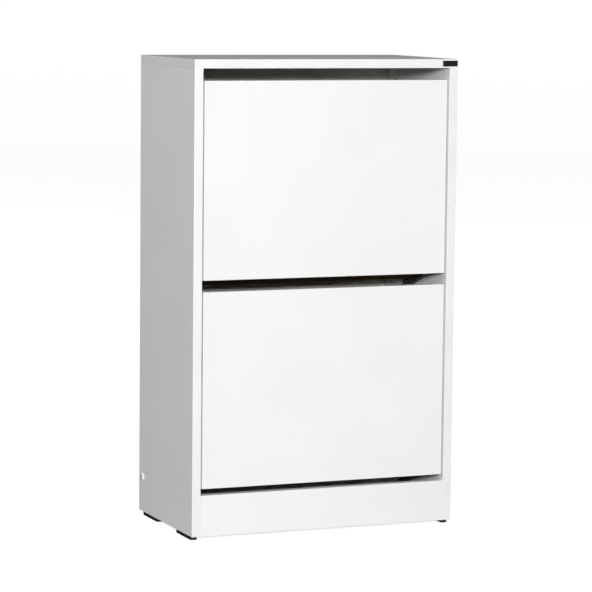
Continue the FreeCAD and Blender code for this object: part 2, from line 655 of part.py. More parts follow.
# Outline of a rack frame, with the hinge axis as its origin: first the distance along the shelf
# line, which falls towards the back, then the distance square to it.
RACK_REACH = f"({BACK_INNER} - {PIVOT_DEPTH} - rack_clearance)"
REAR_END = f"(({RACK_REACH} - rear_backrest_rise * sin(rack_slope)) / cos(rack_slope))"
RIM_LOW = square("-pivot_behind_door", "rim_lift - pivot_above_edge")
FRONT_SHELF = f"({RIM_LOW} + rim)"
FRONT_BACKREST = "front_row"
REAR_BACKREST = f"({REAR_END} - rear_rim - rack_board)"
REAR_SHELF_START = "(front_row + rack_board + rib + rack_end_play)"
RIM_DROP = "(rim_lift - pivot_above_edge)"
DOOR_LINE_LOW = (along("-pivot_behind_door", RIM_DROP), RIM_LOW)
DOOR_LINE_HIGH = (along("-pivot_behind_door", "flange_rise"), square("-pivot_behind_door", "flange_rise"))
FLANGE_INNER = "(flange - pivot_behind_door)"
SHELF_START = f"(({FLANGE_INNER} + rack_end_play - {FRONT_SHELF} * sin(rack_slope)) / cos(rack_slope))"
FRAME_OUTER = f"({INNER_FACE} - frame_side_gap)"
RACK_WIDTH = f"(2 * ({FRAME_OUTER} - web - rack_end_play))"
FRAME_OUTLINE = [
    DOOR_LINE_LOW,
    ("bottom_rim_end", RIM_LOW),
    (REAR_END, "rear_lift - rib"),
    (REAR_END, "rear_backrest_rise"),
    ("front_row + rack_board + rib", "front_backrest_rise"),
    DOOR_LINE_HIGH,
]
# Bars that stand on the inner side of the frame's wall: the rims and the channels of the boards.
FRAME_BARS = [
    # Bottom rim, which carries the front shelf, and the rib above that shelf.
    ((SHELF_START, RIM_LOW), ("bottom_rim_end", FRONT_SHELF)),
    ((SHELF_START, f"{FRONT_SHELF} + rack_board + rack_play"),
     ("front_row - rack_play", f"{FRONT_SHELF} + rack_board + rack_play + rib")),
    # Front backrest: a rib before it and one behind it.
    (("front_row - rack_play - rib", f"{FRONT_SHELF} + rack_board + rack_play"),
     ("front_row - rack_play", "front_backrest_rise")),
    (("front_row + rack_board", FRONT_SHELF), ("front_row + rack_board + rib", "front_backrest_rise")),
    # Rear shelf: a rib below it and one above it.
    (("front_row + rack_board", "rear_lift - rib"), (REAR_END, "rear_lift")),
    (("front_row + rack_board", "rear_lift + rack_board + rack_play"),
     (f"{REAR_BACKREST} - rack_play", "rear_lift + rack_board + rack_play + rib")),
    # Rear backrest: a rib before it and the rear rim behind it.
    ((f"{REAR_BACKREST} - rack_play - rib", "rear_lift + rack_board + rack_play"),
     (f"{REAR_BACKREST} - rack_play", "rear_backrest_rise")),
    ((f"{REAR_BACKREST} + rack_board", "rear_lift - rib"), (REAR_END, "rear_backrest_rise")),
]
# Windows that lighten the wall: above the stop slot, above the rear shelf and below it.
SLOT_OUTSIDE = "(peg_orbit + peg_radius + peg_play + window_margin)"
WINDOW_RIGHT = "(front_row - rack_play - rib - window_margin)"
WINDOW_FRONT = "(-pivot_behind_door + flange + window_margin)"
REAR_WINDOW_LEFT = "(front_row + rack_board + rib + window_margin / 2)"
REAR_WINDOW_RIGHT = f"({REAR_BACKREST} - rack_play - rib - window_margin / 2)"
FRAME_WINDOWS = [
    [
        (f"({WINDOW_FRONT} - {SLOT_OUTSIDE} * sin(rack_slope)) / cos(rack_slope)", SLOT_OUTSIDE),
        (f"{SLOT_OUTSIDE} * 0.25", SLOT_OUTSIDE),
        (WINDOW_RIGHT, f"{SLOT_OUTSIDE} * 0.6"),
        (WINDOW_RIGHT, "front_backrest_rise - window_margin"),
        (f"({WINDOW_FRONT} - front_backrest_rise * sin(rack_slope)) / cos(rack_slope)",
         "front_backrest_rise + window_margin"),
    ],
    [
        (REAR_WINDOW_LEFT, "rear_lift + rack_board + rib + window_margin / 2"),
        (REAR_WINDOW_RIGHT, "rear_lift + rack_board + rib + window_margin / 2"),
        (REAR_WINDOW_RIGHT, "rear_backrest_rise - window_margin"),
        (REAR_WINDOW_LEFT, "rear_backrest_rise - window_margin"),
    ],
    [
        (REAR_WINDOW_LEFT, f"{FRONT_SHELF} + window_margin / 2"),
        ("bottom_rim_end - window_margin / 2", f"{FRONT_SHELF} + window_margin / 2"),
        (f"{REAR_END} - 2 * window_margin", "rear_lift - rib - window_margin"),
        (REAR_WINDOW_LEFT, "rear_lift - rib - window_margin"),
    ],
]
# The slot runs a little past the peg at both ends of the travel.
SLOT_HIGH = "peg_bearing"
SLOT_LOW = "(peg_bearing - opening_angle)"
SCREW_ACROSS = "(web + flange_reach) / 2"
frame_screw_rises = [f"({step} * frame_screw_pitch - frame_screw_low)" for step in range(FRAME_SCREWS)]


def rack_frame(name, side, sign, hinge):
    """One moulded side frame: wall, windows, flange, rims, channels, boss, bore and stop slot."""
    turned = side == "right"
    frame = Piece(name, (f"{sign} * {FRAME_OUTER}", PIVOT_DEPTH, hinge), tilted=True)
    drawing = frame.sketch()
    draw_polygon(drawing, FRAME_OUTLINE)
    frame.pad(drawing, "web", turned)
    drawing = frame.sketch()
    for window in FRAME_WINDOWS:
        draw_polygon(drawing, window)
    frame.pocket(drawing, None, not turned)
    # Flange along the door, upright when the flap is closed.
    drawing = frame.sketch()
    inner_low = (along(FLANGE_INNER, RIM_DROP), square(FLANGE_INNER, RIM_DROP))
    inner_high = (along(FLANGE_INNER, "flange_rise"), square(FLANGE_INNER, "flange_rise"))
    draw_polygon(drawing, [DOOR_LINE_LOW, inner_low, inner_high, DOOR_LINE_HIGH])
    frame.pad(drawing, "flange_reach", turned)
    for low, high in FRAME_BARS:
        drawing = frame.sketch()
        draw_rectangle(drawing, low, high)
        frame.pad(drawing, "rib_reach", turned)
    drawing = frame.sketch()
    draw_circle(drawing, ("0", "0"), "boss_radius")
    frame.pad(drawing, "rib_reach", turned)
    drawing = frame.sketch()
    draw_circle(drawing, ("0", "0"), "pin_radius + pin_play")
    draw_curved_slot(drawing, "peg_orbit", SLOT_LOW, SLOT_HIGH, "(peg_radius + peg_play)")
    frame.pocket(drawing, None, not turned)
    return frame


def flange_holes(frame, name, sign, hinge):
    """Drill the flange of a frame for its screws, square to the door."""
    drills = []
    across = f"{sign} * ({FRAME_OUTER} - {SCREW_ACROSS})"
    drill = [("0", SCREW_HOLE, SCREW_HOLE, "3 * flange")]
    for rise in frame_screw_rises:
        drill_at = (across, f"{DOOR_INNER} - flange", f"{hinge} + {rise}")
        drills.append(fastener("flange_drill", drill_at, V(0, 1, 0), drill))
    drilled = doc.addObject("Part::Cut", name)
    frame.body.Label = f"{name}_blank"
    drilled.Base = frame.body
    drilled.Tool = group(f"{name}_drills", drills)
    drilled.Label = name
    return drilled


def rack_board(name, hinge, low, high):
    """A thin board across the rack, given by its low and high corners beside the frame."""
    board = Piece(name, (f"-{RACK_WIDTH} / 2", PIVOT_DEPTH, hinge), tilted=True)
    drawing = board.sketch()
    draw_rectangle(drawing, low, high)
    board.pad(drawing, RACK_WIDTH)
    return board


RACK_BOARDS = {
    "front_shelf": ((SHELF_START, FRONT_SHELF), (FRONT_BACKREST, f"{FRONT_SHELF} + rack_board")),
    "front_backrest": ((FRONT_BACKREST, FRONT_SHELF), ("front_row + rack_board", "front_backrest_rise")),
    "rear_shelf": ((REAR_SHELF_START, "rear_lift"), (REAR_BACKREST, "rear_lift + rack_board")),
    "rear_backrest": ((REAR_BACKREST, "rear_lift"), (f"{REAR_BACKREST} + rack_board", "rear_backrest_rise")),
}
flange_screw = [
    ("0", "screw_head_radius", "screw_head_radius", "screw_head"),
    ("screw_head", "screw_radius", "screw_radius", "flange + screw_grip - fit_play"),
]

for flap, edge in DOOR_EDGES.items():
    hinge = level(flap)
    door = Board(f"{flap}_door", (f"-{DOOR_WIDTH} / 2", DOOR_FACE, edge), (DOOR_WIDTH, "board", DOOR_RISE))
    holes = []
    for sign in SIDES.values():
        for rise in frame_screw_rises:
            across = f"{DOOR_WIDTH} / 2 + {sign} * ({FRAME_OUTER} - {SCREW_ACROSS})"
            holes.append((across, f"pivot_above_edge + {rise}"))
    door.drill("rear", holes, SCREW_HOLE, "screw_grip")
    keep(door)
    screws = []
    for side, sign in SIDES.items():
        name = f"{flap}_rack_frame_{side}"
        frame = rack_frame(name, side, sign, hinge)
        keep(flange_holes(frame, name, sign, hinge))
        for rise in frame_screw_rises:
            head_at = (f"{sign} * ({FRAME_OUTER} - {SCREW_ACROSS})",
                       f"{DOOR_INNER} + flange + screw_head", f"{hinge} + {rise}")
            screws.append(fastener(f"{flap}_frame_screw", head_at, V(0, -1, 0), flange_screw))
    keep(group(f"{flap}_frame_screws", screws))
    for part, (low, high) in RACK_BOARDS.items():
        keep(rack_board(f"{flap}_{part}", hinge, low, high))

# ---------------------------------------------------------------------------------------------
# Check and write
# ---------------------------------------------------------------------------------------------

doc.recompute()
faults = [f"{thing.Label}: {thing.State}" for thing in doc.Objects if {"Invalid", "Error"} & set(thing.State)]
for node in nodes:
    if node.Shape.isNull() or not node.Shape.isValid():
        faults.append(f"{node.Label}: no valid shape")
if faults:
    raise RuntimeError("\n".join(faults))

os.makedirs("parts", exist_ok=True)
for node in nodes:
    node.Shape.exportStep(f"parts/{node.Label}.step")
    print(f"{node.Label:28} {len(node.Shape.Solids)} solids {node.Shape.Volume / 1000:10.1f} cm3")
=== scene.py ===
"""White melamine shoe cabinet with two tilt-out flaps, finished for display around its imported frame."""

import json
import logging
import math
from collections.abc import Iterable, Sequence
from dataclasses import dataclass, field
from enum import Enum

import bmesh
import bpy
from mathutils import Matrix, Vector

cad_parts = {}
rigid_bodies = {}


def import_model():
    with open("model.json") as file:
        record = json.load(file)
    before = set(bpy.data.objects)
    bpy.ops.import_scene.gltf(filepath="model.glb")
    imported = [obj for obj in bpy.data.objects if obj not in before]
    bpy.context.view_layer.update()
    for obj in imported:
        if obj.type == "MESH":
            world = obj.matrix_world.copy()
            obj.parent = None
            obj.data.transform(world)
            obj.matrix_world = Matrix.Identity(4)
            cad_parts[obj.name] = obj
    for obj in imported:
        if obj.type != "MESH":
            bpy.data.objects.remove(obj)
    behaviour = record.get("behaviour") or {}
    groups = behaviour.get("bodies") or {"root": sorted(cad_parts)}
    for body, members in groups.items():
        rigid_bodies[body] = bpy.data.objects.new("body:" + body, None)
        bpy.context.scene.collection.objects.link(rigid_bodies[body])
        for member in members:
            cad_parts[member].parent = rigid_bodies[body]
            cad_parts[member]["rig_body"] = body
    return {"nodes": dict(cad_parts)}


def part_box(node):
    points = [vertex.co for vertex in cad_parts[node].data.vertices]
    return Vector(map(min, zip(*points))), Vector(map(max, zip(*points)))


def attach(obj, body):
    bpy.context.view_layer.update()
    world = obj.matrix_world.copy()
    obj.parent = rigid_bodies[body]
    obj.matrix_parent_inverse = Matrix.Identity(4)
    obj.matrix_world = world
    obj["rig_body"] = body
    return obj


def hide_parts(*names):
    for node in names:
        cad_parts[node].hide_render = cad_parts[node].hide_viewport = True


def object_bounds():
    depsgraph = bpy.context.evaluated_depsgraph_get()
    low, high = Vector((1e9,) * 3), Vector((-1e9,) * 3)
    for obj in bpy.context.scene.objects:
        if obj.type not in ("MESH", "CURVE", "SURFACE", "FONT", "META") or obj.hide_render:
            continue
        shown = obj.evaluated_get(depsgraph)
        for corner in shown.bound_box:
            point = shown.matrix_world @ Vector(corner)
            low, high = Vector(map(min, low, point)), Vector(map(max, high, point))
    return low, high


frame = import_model()
CAD_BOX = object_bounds()

MM = 0.001
# Points closer than this are the same point, in metres.
LIKE_PLACE = 1e-6
# Faces that meet at less than this are one flat face, in degrees.
LIKE_FLAT = 0.5
# A face looks along an axis when the cosine of the angle between them is above this.
SQUARE_ON = 0.999

log = logging.getLogger("shoe_cabinet")


# ---------------------------------------------------------------------------------------------
# Finishes
# ---------------------------------------------------------------------------------------------


def linear(code: str) -> tuple[float, float, float, float]:
    """Turn an sRGB hex colour into linear red, green, blue and an alpha of 1."""
    shares = (int(code[start:start + 2], 16) / 255 for start in (1, 3, 5))
    return (*(s / 12.92 if s <= 0.04045 else ((s + 0.055) / 1.055) ** 2.4 for s in shares), 1.0)


def add_node(
    tree: bpy.types.NodeTree, kind: str, inputs: dict[str | int, object] | None = None, **settings: object
) -> bpy.types.Node:
    """Add a shader node, set it up and link it.

    Args:
        tree: Node tree of a material or of the world.
        kind: Blender's name for the type of node, without its first word.
        inputs: For each input, by name or number, the value it holds or the socket it is linked to.
        **settings: Properties of the node itself.

    Returns:
        The new node.
    """
    node = tree.nodes.new(f"ShaderNode{kind}")
    for name, value in settings.items():
        setattr(node, name, value)
    for key, value in (inputs or {}).items():
        if isinstance(value, bpy.types.NodeSocket):
            tree.links.new(value, node.inputs[key])
        else:
            node.inputs[key].default_value = value
    return node


class Figure(Enum):
    """What a finish shows from close by."""

    EVEN = "even"
    CHIPS = "chips"
    FIBRES = "fibres"
    GRAIN = "grain"


# Size of the patches where hands and cloths have left a surface a little duller, in millimetres.
SMUDGE = 70


@dataclass(frozen=True)
class Finish:
    """A real finish, and the numbers that describe it to the eye.

    Attributes:
        name: What a maker calls it.
        colour: Its main colour, sRGB hex.
        other: The colour that the main one drifts to, or that of its darker chips, fibres or rings.
        patch: Size of the patches of colour, in millimetres.
        roughness: Mean roughness.
        spread: How far the roughness wanders to either side of its mean.
        grain: Size of the relief, in millimetres.
        relief: Height of the relief, in millimetres.
        figure: What it shows from close by.
        metallic: 1 for a metal and 0 for anything else.
        coat: Weight of a clear coat over it.
        ior: Index of refraction.
    """

    name: str
    colour: str
    other: str
    patch: float
    roughness: float
    spread: float
    grain: float
    relief: float
    figure: Figure = Figure.EVEN
    metallic: float = 0.0
    coat: float = 0.0
    ior: float = 1.5

    def material(self) -> bpy.types.Material:
        """Find the finish's material, or make it the first time it is asked for.

        Returns:
            The material, named for the finish.
        """
        known = bpy.data.materials.get(self.name)
        if known:
            return known
        material = bpy.data.materials.new(self.name)
        material.use_nodes = True
        tree = material.node_tree
        tree.nodes.clear()
        place = add_node(tree, "TexCoord").outputs["Object"]
        colour, height = self.pattern(tree, place)
        smudges = add_node(tree, "TexNoise", {
            "Vector": place, "Scale": 1 / (SMUDGE * MM), "Detail": 4.0,
        })
        roughness = add_node(tree, "MapRange", {
            "Value": smudges.outputs[0], "From Min": 0.3, "From Max": 0.7,
            "To Min": self.roughness - self.spread, "To Max": self.roughness + self.spread,
        })
        relief = add_node(tree, "Bump", {"Height": height, "Distance": self.relief * MM, "Strength": 1.0})
        shader = add_node(tree, "BsdfPrincipled", {
            "Base Color": colour, "Roughness": roughness.outputs[0], "Metallic": self.metallic,
            "IOR": self.ior, "Coat Weight": self.coat, "Normal": relief.outputs[0],
        })
        add_node(tree, "OutputMaterial", {"Surface": shader.outputs[0]})
        return material

    def pattern(
        self, tree: bpy.types.NodeTree, place: bpy.types.NodeSocket
    ) -> tuple[bpy.types.NodeSocket, bpy.types.NodeSocket]:
        """Add the nodes that draw the finish's colour and relief.

        Args:
            tree: The material's node tree.
            place: The socket that gives the point on the surface.

        Returns:
            The sockets of the colour and of the relief's height.
        """
        if self.figure is Figure.GRAIN:
            # Rings run along the piece, so they are long that way and thin across it.
            place = add_node(tree, "Mapping", {"Vector": place, "Scale": (1.0, 1.0, 0.06)}).outputs[0]
        if self.figure is Figure.CHIPS:
            chips = add_node(tree, "TexVoronoi", {"Vector": place, "Scale": 1 / (self.patch * MM)})
            share = add_node(tree, "SeparateColor", {"Color": chips.outputs["Color"]}).outputs[0]
            height = add_node(tree, "TexNoise", {
                "Vector": place, "Scale": 1 / (self.grain * MM), "Detail": 6.0, "Roughness": 0.7,
            }).outputs[0]
        else:
            twist = 2.5 if self.figure is Figure.FIBRES else 0.0
            patches = add_node(tree, "TexNoise", {
                "Vector": place, "Scale": 1 / (self.patch * MM), "Detail": 5.0, "Distortion": twist,
            })
            share = add_node(tree, "MapRange", {
                "Value": patches.outputs[0], "From Min": 0.35, "From Max": 0.65,
            }).outputs[0]
            height = add_node(tree, "TexNoise", {
                "Vector": place, "Scale": 1 / (self.grain * MM), "Detail": 2.0, "Distortion": twist,
            }).outputs[0]
        colours = {0: share, 6: linear(self.colour), 7: linear(self.other)}
        mixed = add_node(tree, "Mix", colours, data_type="RGBA")
        return mixed.outputs[2], height


# Melamine paper pressed on chipboard: a clean neutral white with a satin sheen. Its pearl texture is
# 0.5 mm fine and is drawn at 3 mm, so that it shows at all.
MELAMINE = Finish("white_melamine_face", "#f4f4f3", "#f1f1f0", 140, 0.42, 0.05, 3.0, 0.012)
# Glued edge tape of the same white: smoother and a touch glossier, so its rounded corners catch a line
# of light.
EDGE_TAPE = Finish("white_abs_edge_tape", "#f3f3f2", "#efefee", 60, 0.34, 0.05, 5.0, 0.008, ior=1.53)
# The core that a saw leaves bare: straw and brown chips in resin, dull and crumbly.
CHIPBOARD = Finish("sawn_chipboard_core", "#b8966a", "#7d5d3b", 2.4, 0.86, 0.06, 0.9, 0.25, Figure.CHIPS)
# Wet-lacquered face of thin hardboard: white, a little creamier and glossier than the boards, with the
# faint ripple of the fibre below.
LACQUER = Finish("white_lacquered_hardboard", "#e9e8e3", "#e2e1db", 90, 0.38, 0.07, 6.0, 0.02)
# The bare side of hardboard: brown felted fibre with darker strands.
FIBREBOARD = Finish("bare_hardboard_fibre", "#8a6c4f", "#6d5439", 4.0, 0.82, 0.05, 1.1, 0.08, Figure.FIBRES)
# Black semi-gloss enamel on an aluminium plate: deep and even.
BLACK_ENAMEL = Finish("black_enamelled_plate", "#121214", "#17171a", 20, 0.28, 0.06, 1.5, 0.004, coat=0.4)
# Die-cast zinc: dull grey metal with a sandy skin.
CAST_ZINC = Finish("die_cast_zinc", "#a9aaac", "#95979a", 3.0, 0.46, 0.08, 0.5, 0.02, metallic=1.0)
# Bright zinc plating on turned steel: cool silver, slightly cloudy.
PLATED_STEEL = Finish("zinc_plated_steel", "#c9cbce", "#b8bbc0", 4.0, 0.27, 0.08, 0.7, 0.006, metallic=1.0)
# Beech: warm pale wood with fine rings along the dowel.
BEECH = Finish("fluted_beech", "#d9b98c", "#c49c69", 1.6, 0.62, 0.05, 0.6, 0.03, Figure.GRAIN)
# Injection-moulded polyethylene: milky white, soft sheen.
WHITE_PE = Finish("white_moulded_polyethylene", "#eeeeec", "#e8e8e5", 15, 0.4, 0.05, 0.8, 0.006, ior=1.51)
# Moulded black polypropylene with a spark-eroded texture: flat black that never shines.
BLACK_PP = Finish("black_moulded_polypropylene", "#17171a", "#1e1e21", 12, 0.55, 0.07, 0.9, 0.03, ior=1.49)
# Glass-filled nylon: dark grey with a faint cloudy sheen.
GREY_NYLON = Finish("grey_glass_filled_nylon", "#515358", "#47494e", 6.0, 0.42, 0.07, 0.7, 0.01, ior=1.53)
# Moulded ABS with a fine matte texture: dark grey, light rubs where shoes slide in.
DARK_ABS = Finish("dark_textured_abs", "#2f3033", "#37383c", 35, 0.58, 0.09, 1.2, 0.035, ior=1.53)


# ---------------------------------------------------------------------------------------------
# Meshes
# ---------------------------------------------------------------------------------------------


def merged_copy(node: str) -> bmesh.types.BMesh:
    """Copy a CAD node's mesh, with its triangles merged into whole faces."""
    shape = bmesh.new()
    shape.from_mesh(frame["nodes"][node].data)
    bmesh.ops.remove_doubles(shape, verts=shape.verts, dist=LIKE_PLACE)
    bmesh.ops.dissolve_limit(
        shape, angle_limit=math.radians(LIKE_FLAT), verts=shape.verts, edges=shape.edges
    )
    return shape


def ease(
    shape: bmesh.types.BMesh, edges: Iterable[bmesh.types.BMEdge], width: float, segments: int = 2
) -> None:
    """Round some edges of a shape.

    Args:
        shape: The shape to change.
        edges: The edges to round.
        width: How far the rounding reaches on each side, in millimetres.
        segments: Number of faces across the rounding.
    """
    bmesh.ops.bevel(
        shape, geom=list(edges), offset=width * MM, offset_type="OFFSET", affect="EDGES",
        segments=segments, profile=0.5, material=-1, clamp_overlap=False,
    )


# From the top of a thread's ridge down to its foot along the screw, as a share of the pitch.
RIDGE = 0.3
# Size of the bottom of a driver's cross, as a share of its mouth.
CROSS_TAPER = 0.6


def turned(profile: Sequence[tuple[float, float]], steps: int = 32) -> bmesh.types.BMesh:
    """Turn a profile about Z.

    Args:
        profile: Points as (radius, height), in millimetres.
        steps: Number of faces round the piece.

    Returns:
        The turned shape, in metres.
    """
    shape = bmesh.new()
    line = [shape.verts.new((radius * MM, 0.0, height * MM)) for radius, height in profile]
    edges = [shape.edges.new(pair) for pair in zip(line, line[1:])]
    bmesh.ops.spin(
        shape, geom=line + edges, cent=(0, 0, 0), axis=(0, 0, 1), angle=math.tau, steps=steps, use_merge=True
    )
    bmesh.ops.remove_doubles(shape, verts=shape.verts, dist=LIKE_PLACE)
    bmesh.ops.recalc_face_normals(shape, faces=shape.faces)
    return shape


def thread(core: float, crest: float, pitch: float, start: float, end: float) -> list[tuple[float, float]]:
    """Draw the outline of a thread as a row of ridges, which is how it looks from outside.

    Args:
        core: Radius between the ridges, in millimetres.
        crest: Radius over the ridges, in millimetres.
        pitch: Distance from one ridge to the next, in millimetres.
        start: Height of the first ridge, in millimetres.
        end: Height that the ridges stop above, in millimetres.

    Returns:
        Points as (radius, height), from the top down.
    """
    line = []
    level = start
    while level > end:
        line += [(core, level + pitch * RIDGE), (crest, level), (core, level - pitch * RIDGE)]
        level -= pitch
    return line


def cross_recess(shape: bmesh.types.BMesh, reach: float, width: float, depth: float) -> None:
    """Sink a cross for the driver into the open middle of a turned head.

    Args:
        shape: A turned shape whose only open rim is that of the head.
        reach: Middle of the cross to the end of an arm, in millimetres.
        width: Width of an arm, in millimetres.
        depth: Depth of the cross, in millimetres.
    """
    rim = [edge for edge in shape.edges if edge.is_boundary]
    level = rim[0].verts[0].co.z
    half = width / 2
    corners = []
    for quarter in range(4):
        turn = Matrix.Rotation(quarter * math.pi / 2, 3, "Z")
        for point in ((reach, -half, 0), (reach, half, 0), (half, half, 0)):
            corners.append(shape.verts.new(turn @ Vector(point) * MM + Vector((0, 0, level))))
    outline = [shape.edges.new(pair) for pair in zip(corners, corners[1:] + corners[:1])]
    bmesh.ops.bridge_loops(shape, edges=rim + outline)
    sunk = bmesh.ops.extrude_edge_only(shape, edges=outline)["geom"]
    low = [item for item in sunk if isinstance(item, bmesh.types.BMVert)]
    bmesh.ops.scale(shape, verts=low, vec=(CROSS_TAPER, CROSS_TAPER, 1.0))
    bmesh.ops.translate(shape, verts=low, vec=(0, 0, -depth * MM))
    bmesh.ops.edgeloop_fill(shape, edges=[item for item in sunk if isinstance(item, bmesh.types.BMEdge)])
    bmesh.ops.recalc_face_normals(shape, faces=shape.faces)


@dataclass(frozen=True)
class Spot:
    """Where one small turned part of a node sits.

    Attributes:
        head: Middle of its head or shown end.
        tip: Middle of its other end.
    """

    head: Vector
    tip: Vector

    def matrix(self) -> Matrix:
        """Give the matrix that sets down a part modelled with its head at the origin, looking up Z."""
        turn = (self.head - self.tip).to_track_quat("Z", "Y").to_matrix().to_4x4()
        return Matrix.Translation(self.head) @ turn

    def length(self) -> float:
        """Give the distance from head to tip, in millimetres."""
        return (self.head - self.tip).length / MM


def loose_parts(shape: bmesh.types.BMesh) -> list[list[Vector]]:
    """Split a mesh into the parts that share no edge.

    Args:
        shape: The mesh of a node that holds several solids.

    Returns:
        The corners of each part.
    """
    parts, seen = [], set()
    for start in shape.verts:
        if start in seen:
            continue
        seen.add(start)
        waiting, found = [start], []
        while waiting:
            vert = waiting.pop()
            found.append(vert.co.copy())
            near = {edge.other_vert(vert) for edge in vert.link_edges} - seen
            seen |= near
            waiting.extend(near)
        parts.append(found)
    return parts


def spots(node: str) -> list[Spot]:
    """Find the places of a node's turned parts.

    Args:
        node: A CAD node that holds alike parts, each turned about X, Y or Z.

    Returns:
        One place per part. The head is the wider end, or the end nearer to the cabinet's middle.
    """
    middle = (CAD_BOX[0] + CAD_BOX[1]) / 2
    found = []
    shape = merged_copy(node)
    for corners in loose_parts(shape):
        low = Vector(min(co[axis] for co in corners) for axis in range(3))
        high = Vector(max(co[axis] for co in corners) for axis in range(3))
        size = high - low
        # A turned part is as wide one way as the other, so its axis is the one that differs.
        usual = sorted(size)[1]
        axis = max(range(3), key=lambda axis: abs(size[axis] - usual))
        ends = []
        for level in (low[axis], high[axis]):
            end = (low + high) / 2
            end[axis] = level
            reach = max((co - end).length for co in corners if abs(co[axis] - level) < LIKE_PLACE)
            ends.append((round(reach / MM, 2), -(end - middle).length, end))
        tip, head = sorted(ends, key=lambda item: item[:2])
        found.append(Spot(head[2], tip[2]))
    shape.free()
    return found


def stamped(shape: bmesh.types.BMesh, places: Iterable[Spot]) -> bmesh.types.BMesh:
    """Set down copies of a shape.

    Args:
        shape: The shape to copy, modelled with its head at the origin, looking up Z. It is freed.
        places: One place for each copy.

    Returns:
        All the copies as one mesh.
    """
    master = bpy.data.meshes.new("master")
    shape.to_mesh(master)
    shape.free()
    copies = bmesh.new()
    for place in places:
        known = len(copies.verts)
        copies.from_mesh(master)
        copies.verts.ensure_lookup_table()
        bmesh.ops.transform(copies, matrix=place.matrix(), verts=copies.verts[known:])
    bpy.data.meshes.remove(master)
    return copies


def finished(
    shape: bmesh.types.BMesh, node: str, finishes: Sequence[Finish], crease: float = 20.0
) -> bpy.types.Object:
    """Make a shown piece that stands for a CAD node and rides with it.

    Args:
        shape: The piece's mesh, which is freed.
        node: The CAD node that it replaces.
        finishes: Its finishes, in the order of its faces' material numbers.
        crease: Faces that meet at more than this angle, in degrees, keep a crisp edge.

    Returns:
        The new object.
    """
    mesh = bpy.data.meshes.new(f"{node}_finished")
    shape.to_mesh(mesh)
    shape.free()
    for finish in finishes:
        mesh.materials.append(finish.material())
    mesh.shade_smooth()
    mesh.set_sharp_from_angle(angle=math.radians(crease))
    piece = bpy.data.objects.new(mesh.name, mesh)
    bpy.context.scene.collection.objects.link(piece)
    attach(piece, frame["nodes"][node]["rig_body"])
    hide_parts(node)
    log.info("%s: %d faces", piece.name, len(mesh.polygons))
    return piece


# ---------------------------------------------------------------------------------------------
# Boards
# ---------------------------------------------------------------------------------------------

# A board is flat but for its finely rounded edges, so faces that meet at this angle, in degrees, already
# keep a crisp edge.
BOARD_CREASE = 5.0


class Side(Enum):
    """A side of a board, as an axis and the way along it."""

    LEFT = (0, -1)
    RIGHT = (0, 1)
    FRONT = (1, -1)
    BACK = (1, 1)
    BOTTOM = (2, -1)
    TOP = (2, 1)

    def level(self, low: Vector, high: Vector) -> float:
        """Give where this side of a box lies along its axis."""
        axis, way = self.value
        return (high if way > 0 else low)[axis]


class Cover(Enum):
    """What covers a face of a board, as the number of its material."""

    PAPER = 0
    TAPE = 1
    BARE = 2


@dataclass
class MelamineBoard:
    """A melamine-faced chipboard panel with taped edges.

    Attributes:
        node: The CAD node that it replaces.
        taped: The narrow sides that carry edge tape.
        easing: Width of the rounding along its outer edges, in millimetres.
        segments: Number of faces across that rounding.
        levels: Where each side of the CAD node lies along its axis.
        wide_axis: The axis that the board's thickness lies along, square to its wide sides.
    """

    node: str
    taped: tuple[Side, ...]
    easing: float = 0.7
    segments: int = 3
    levels: dict[Side, float] = field(init=False)
    wide_axis: int = field(init=False)

    def __post_init__(self) -> None:
        """Measure the CAD node."""
        low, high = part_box(self.node)
        self.levels = {side: side.level(low, high) for side in Side}
        size = list(high - low)
        self.wide_axis = size.index(min(size))

    def sides_of(self, point: Vector, reach: float = LIKE_PLACE) -> set[Side]:
        """Name the outer sides that a point lies within reach of."""
        return {side for side, level in self.levels.items() if abs(point[side.value[0]] - level) < reach}

    def cover(self, face: bmesh.types.BMFace) -> Cover:
        """Say what covers a face.

        Args:
            face: A face of the eased board.

        Returns:
            Paper on the two wide sides, tape on the taped ones, and bare core elsewhere.
        """
        sides = self.sides_of(face.calc_center_median(), self.easing * MM)
        if max(abs(share) for share in face.normal) > SQUARE_ON:
            sides = {side for side in sides if abs(face.normal[side.value[0]]) > SQUARE_ON}
        if sides & set(self.taped):
            return Cover.TAPE
        if any(side.value[0] == self.wide_axis for side in sides):
            return Cover.PAPER
        return Cover.BARE

    def build(self) -> bpy.types.Object:
        """Make the board from its CAD shape, holes and grooves included."""
        shape = merged_copy(self.node)
        outer = [
            edge for edge in shape.edges
            if len(self.sides_of(edge.verts[0].co) & self.sides_of(edge.verts[1].co)) > 1
        ]
        ease(shape, outer, self.easing, self.segments)
        shape.normal_update()
        for face in shape.faces:
            face.material_index = self.cover(face).value
        return finished(shape, self.node, (MELAMINE, EDGE_TAPE, CHIPBOARD), BOARD_CREASE)


@dataclass
class HardboardSheet:
    """A sheet of thin hardboard, lacquered on one side.

    Attributes:
        node: The CAD node that it replaces.
        lacquered: The way that its white side faces.
        easing: Width of the rounding along its edges, in millimetres.
        corner: Faces that meet at more than this angle, in degrees, form an edge to round.
        lean: The white side runs on over a rounding while the cosine of its tilt is above this.
    """

    node: str
    lacquered: Vector
    easing: float = 0.3
    corner: float = 60.0
    lean: float = 0.9

    def build(self) -> bpy.types.Object:
        """Make the sheet from its CAD shape, with its two sides told apart."""
        shape = merged_copy(self.node)
        rim = [edge for edge in shape.edges if edge.calc_face_angle(0.0) > math.radians(self.corner)]
        ease(shape, rim, self.easing)
        shape.normal_update()
        for face in shape.faces:
            face.material_index = 0 if face.normal.dot(self.lacquered) > self.lean else 1
        return finished(shape, self.node, (LACQUER, FIBREBOARD), BOARD_CREASE)


# ---------------------------------------------------------------------------------------------
# Mouldings
# ---------------------------------------------------------------------------------------------


